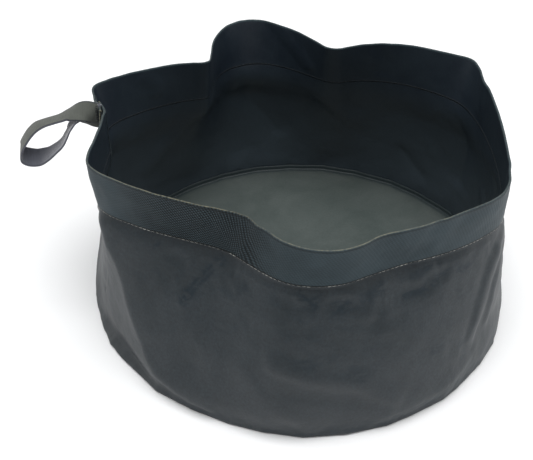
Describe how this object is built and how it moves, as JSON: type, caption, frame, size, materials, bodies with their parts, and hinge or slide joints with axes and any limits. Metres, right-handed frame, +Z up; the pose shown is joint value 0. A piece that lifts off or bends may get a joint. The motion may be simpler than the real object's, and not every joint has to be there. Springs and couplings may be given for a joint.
{
  "type": "collapsible camp washbasin",
  "caption": "Soft collapsible washbasin of coated cloth: a floor, a crumpling wall, a stiff doubled hem round a slack mouth and a hanging loop at the side seam.",
  "frame": {"origin": "middle of the floor's underside, on the surface that the basin stands on", "axes": "+Z up, along the basin's height; +X to the right as the picture shows it, away from the side seam and its loop; +Y away from the viewer"},
  "size_m": [0.3483, 0.3085, 0.1464],
  "materials": {
    "floor_cloth": "smooth polyurethane coating, semi-gloss",
    "wall_cloth": "coated woven cloth, satin",
    "hem_cloth": "uncoated woven side of the cloth, matt",
    "seam_tape": "heat-sealed film tape, satin",
    "loop_tape": "ribbed woven tape, matt"
  },
  "bodies": {
    "basin": {"floor_disc": "floor_cloth", "wall_panel": "wall_cloth", "side_seam_tape": "seam_tape"},
    "rim": {"rim_hem": "hem_cloth", "rim_seam_tape": "seam_tape"},
    "loop": {"hanging_loop": "loop_tape"}
  },
  "joints": [
    {"name": "wall_collapse", "type": "slide", "parent": "basin", "child": "rim", "axis": [0, 0, -1], "range_m": [0, 0.09], "deforming": ["wall_panel", "side_seam_tape"]},
    {"name": "loop_swing", "type": "hinge", "parent": "rim", "child": "loop", "pos_m": [-0.14811, 0.017, 0.138], "axis": [0, 0, 1], "range_deg": [-60, 55]}
  ]
}
